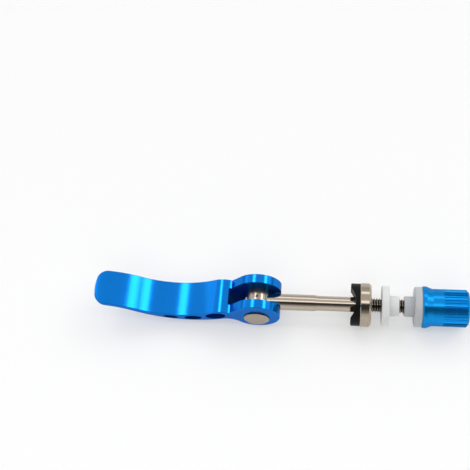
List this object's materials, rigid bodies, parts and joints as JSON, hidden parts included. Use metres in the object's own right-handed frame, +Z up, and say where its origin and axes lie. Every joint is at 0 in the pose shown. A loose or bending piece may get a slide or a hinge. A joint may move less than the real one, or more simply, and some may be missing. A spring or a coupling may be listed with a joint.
{
  "type": "quick release seatpost clamp skewer",
  "caption": "Quick release skewer of a bicycle seatpost clamp: cam lever on a cross pin, threaded steel shaft, grooved cam seat, washer, flanged bushes and fluted thumb nut.",
  "frame": {"origin": "on the table under the middle of the whole length, below the shaft's axis", "axes": "+X along the shaft towards the nut, +Y along the cross pin, +Z up"},
  "size_m": [0.1512, 0.0178, 0.0196],
  "materials": {
    "anodised_blue": "machined and bright blue anodised",
    "steel": "turned, bright",
    "black_plastic": "moulded",
    "white_nylon": "moulded"
  },
  "bodies": {
    "skewer": {"skewer_shaft": "steel", "cross_pin": "steel"},
    "lever": {"lever": "anodised_blue"},
    "washer": {"steel_washer": "steel"},
    "seat": {"cam_seat": "black_plastic"},
    "lever_bush": {"lever_side_bush": "white_nylon"},
    "nut_bush": {"nut_side_bush": "white_nylon"},
    "nut": {"nut": "anodised_blue"}
  },
  "joints": [
    {"name": "lever_pivot", "type": "hinge", "parent": "skewer", "child": "lever", "pos_m": [-0.0088, 0, 0.0089], "axis": [0, 1, 0], "range_deg": [-10, 90]},
    {"name": "washer_slide", "type": "slide", "parent": "skewer", "child": "washer", "axis": [1, 0, 0], "range_m": [-0.0268, 0]},
    {"name": "seat_turn", "type": "hinge", "parent": "washer", "child": "seat", "pos_m": [0.0291, 0, 0.0089], "axis": [1, 0, 0], "continuous": true},
    {"name": "lever_bush_slide", "type": "slide", "parent": "skewer", "child": "lever_bush", "axis": [1, 0, 0], "range_m": [-0.004, 0.0009]},
    {"name": "nut_travel", "type": "slide", "parent": "skewer", "child": "nut_bush", "axis": [1, 0, 0], "range_m": [-0.00101, 0.01001]},
    {"name": "nut_spin", "type": "hinge", "parent": "nut_bush", "child": "nut", "pos_m": [0.0574, 0, 0.0089], "axis": [1, 0, 0], "range_deg": [-360, 3600]}
  ],
  "couplings": [
    {"joint": "nut_travel", "follows": "nut_spin", "m_per_rad": 0.00015915}
  ]
}
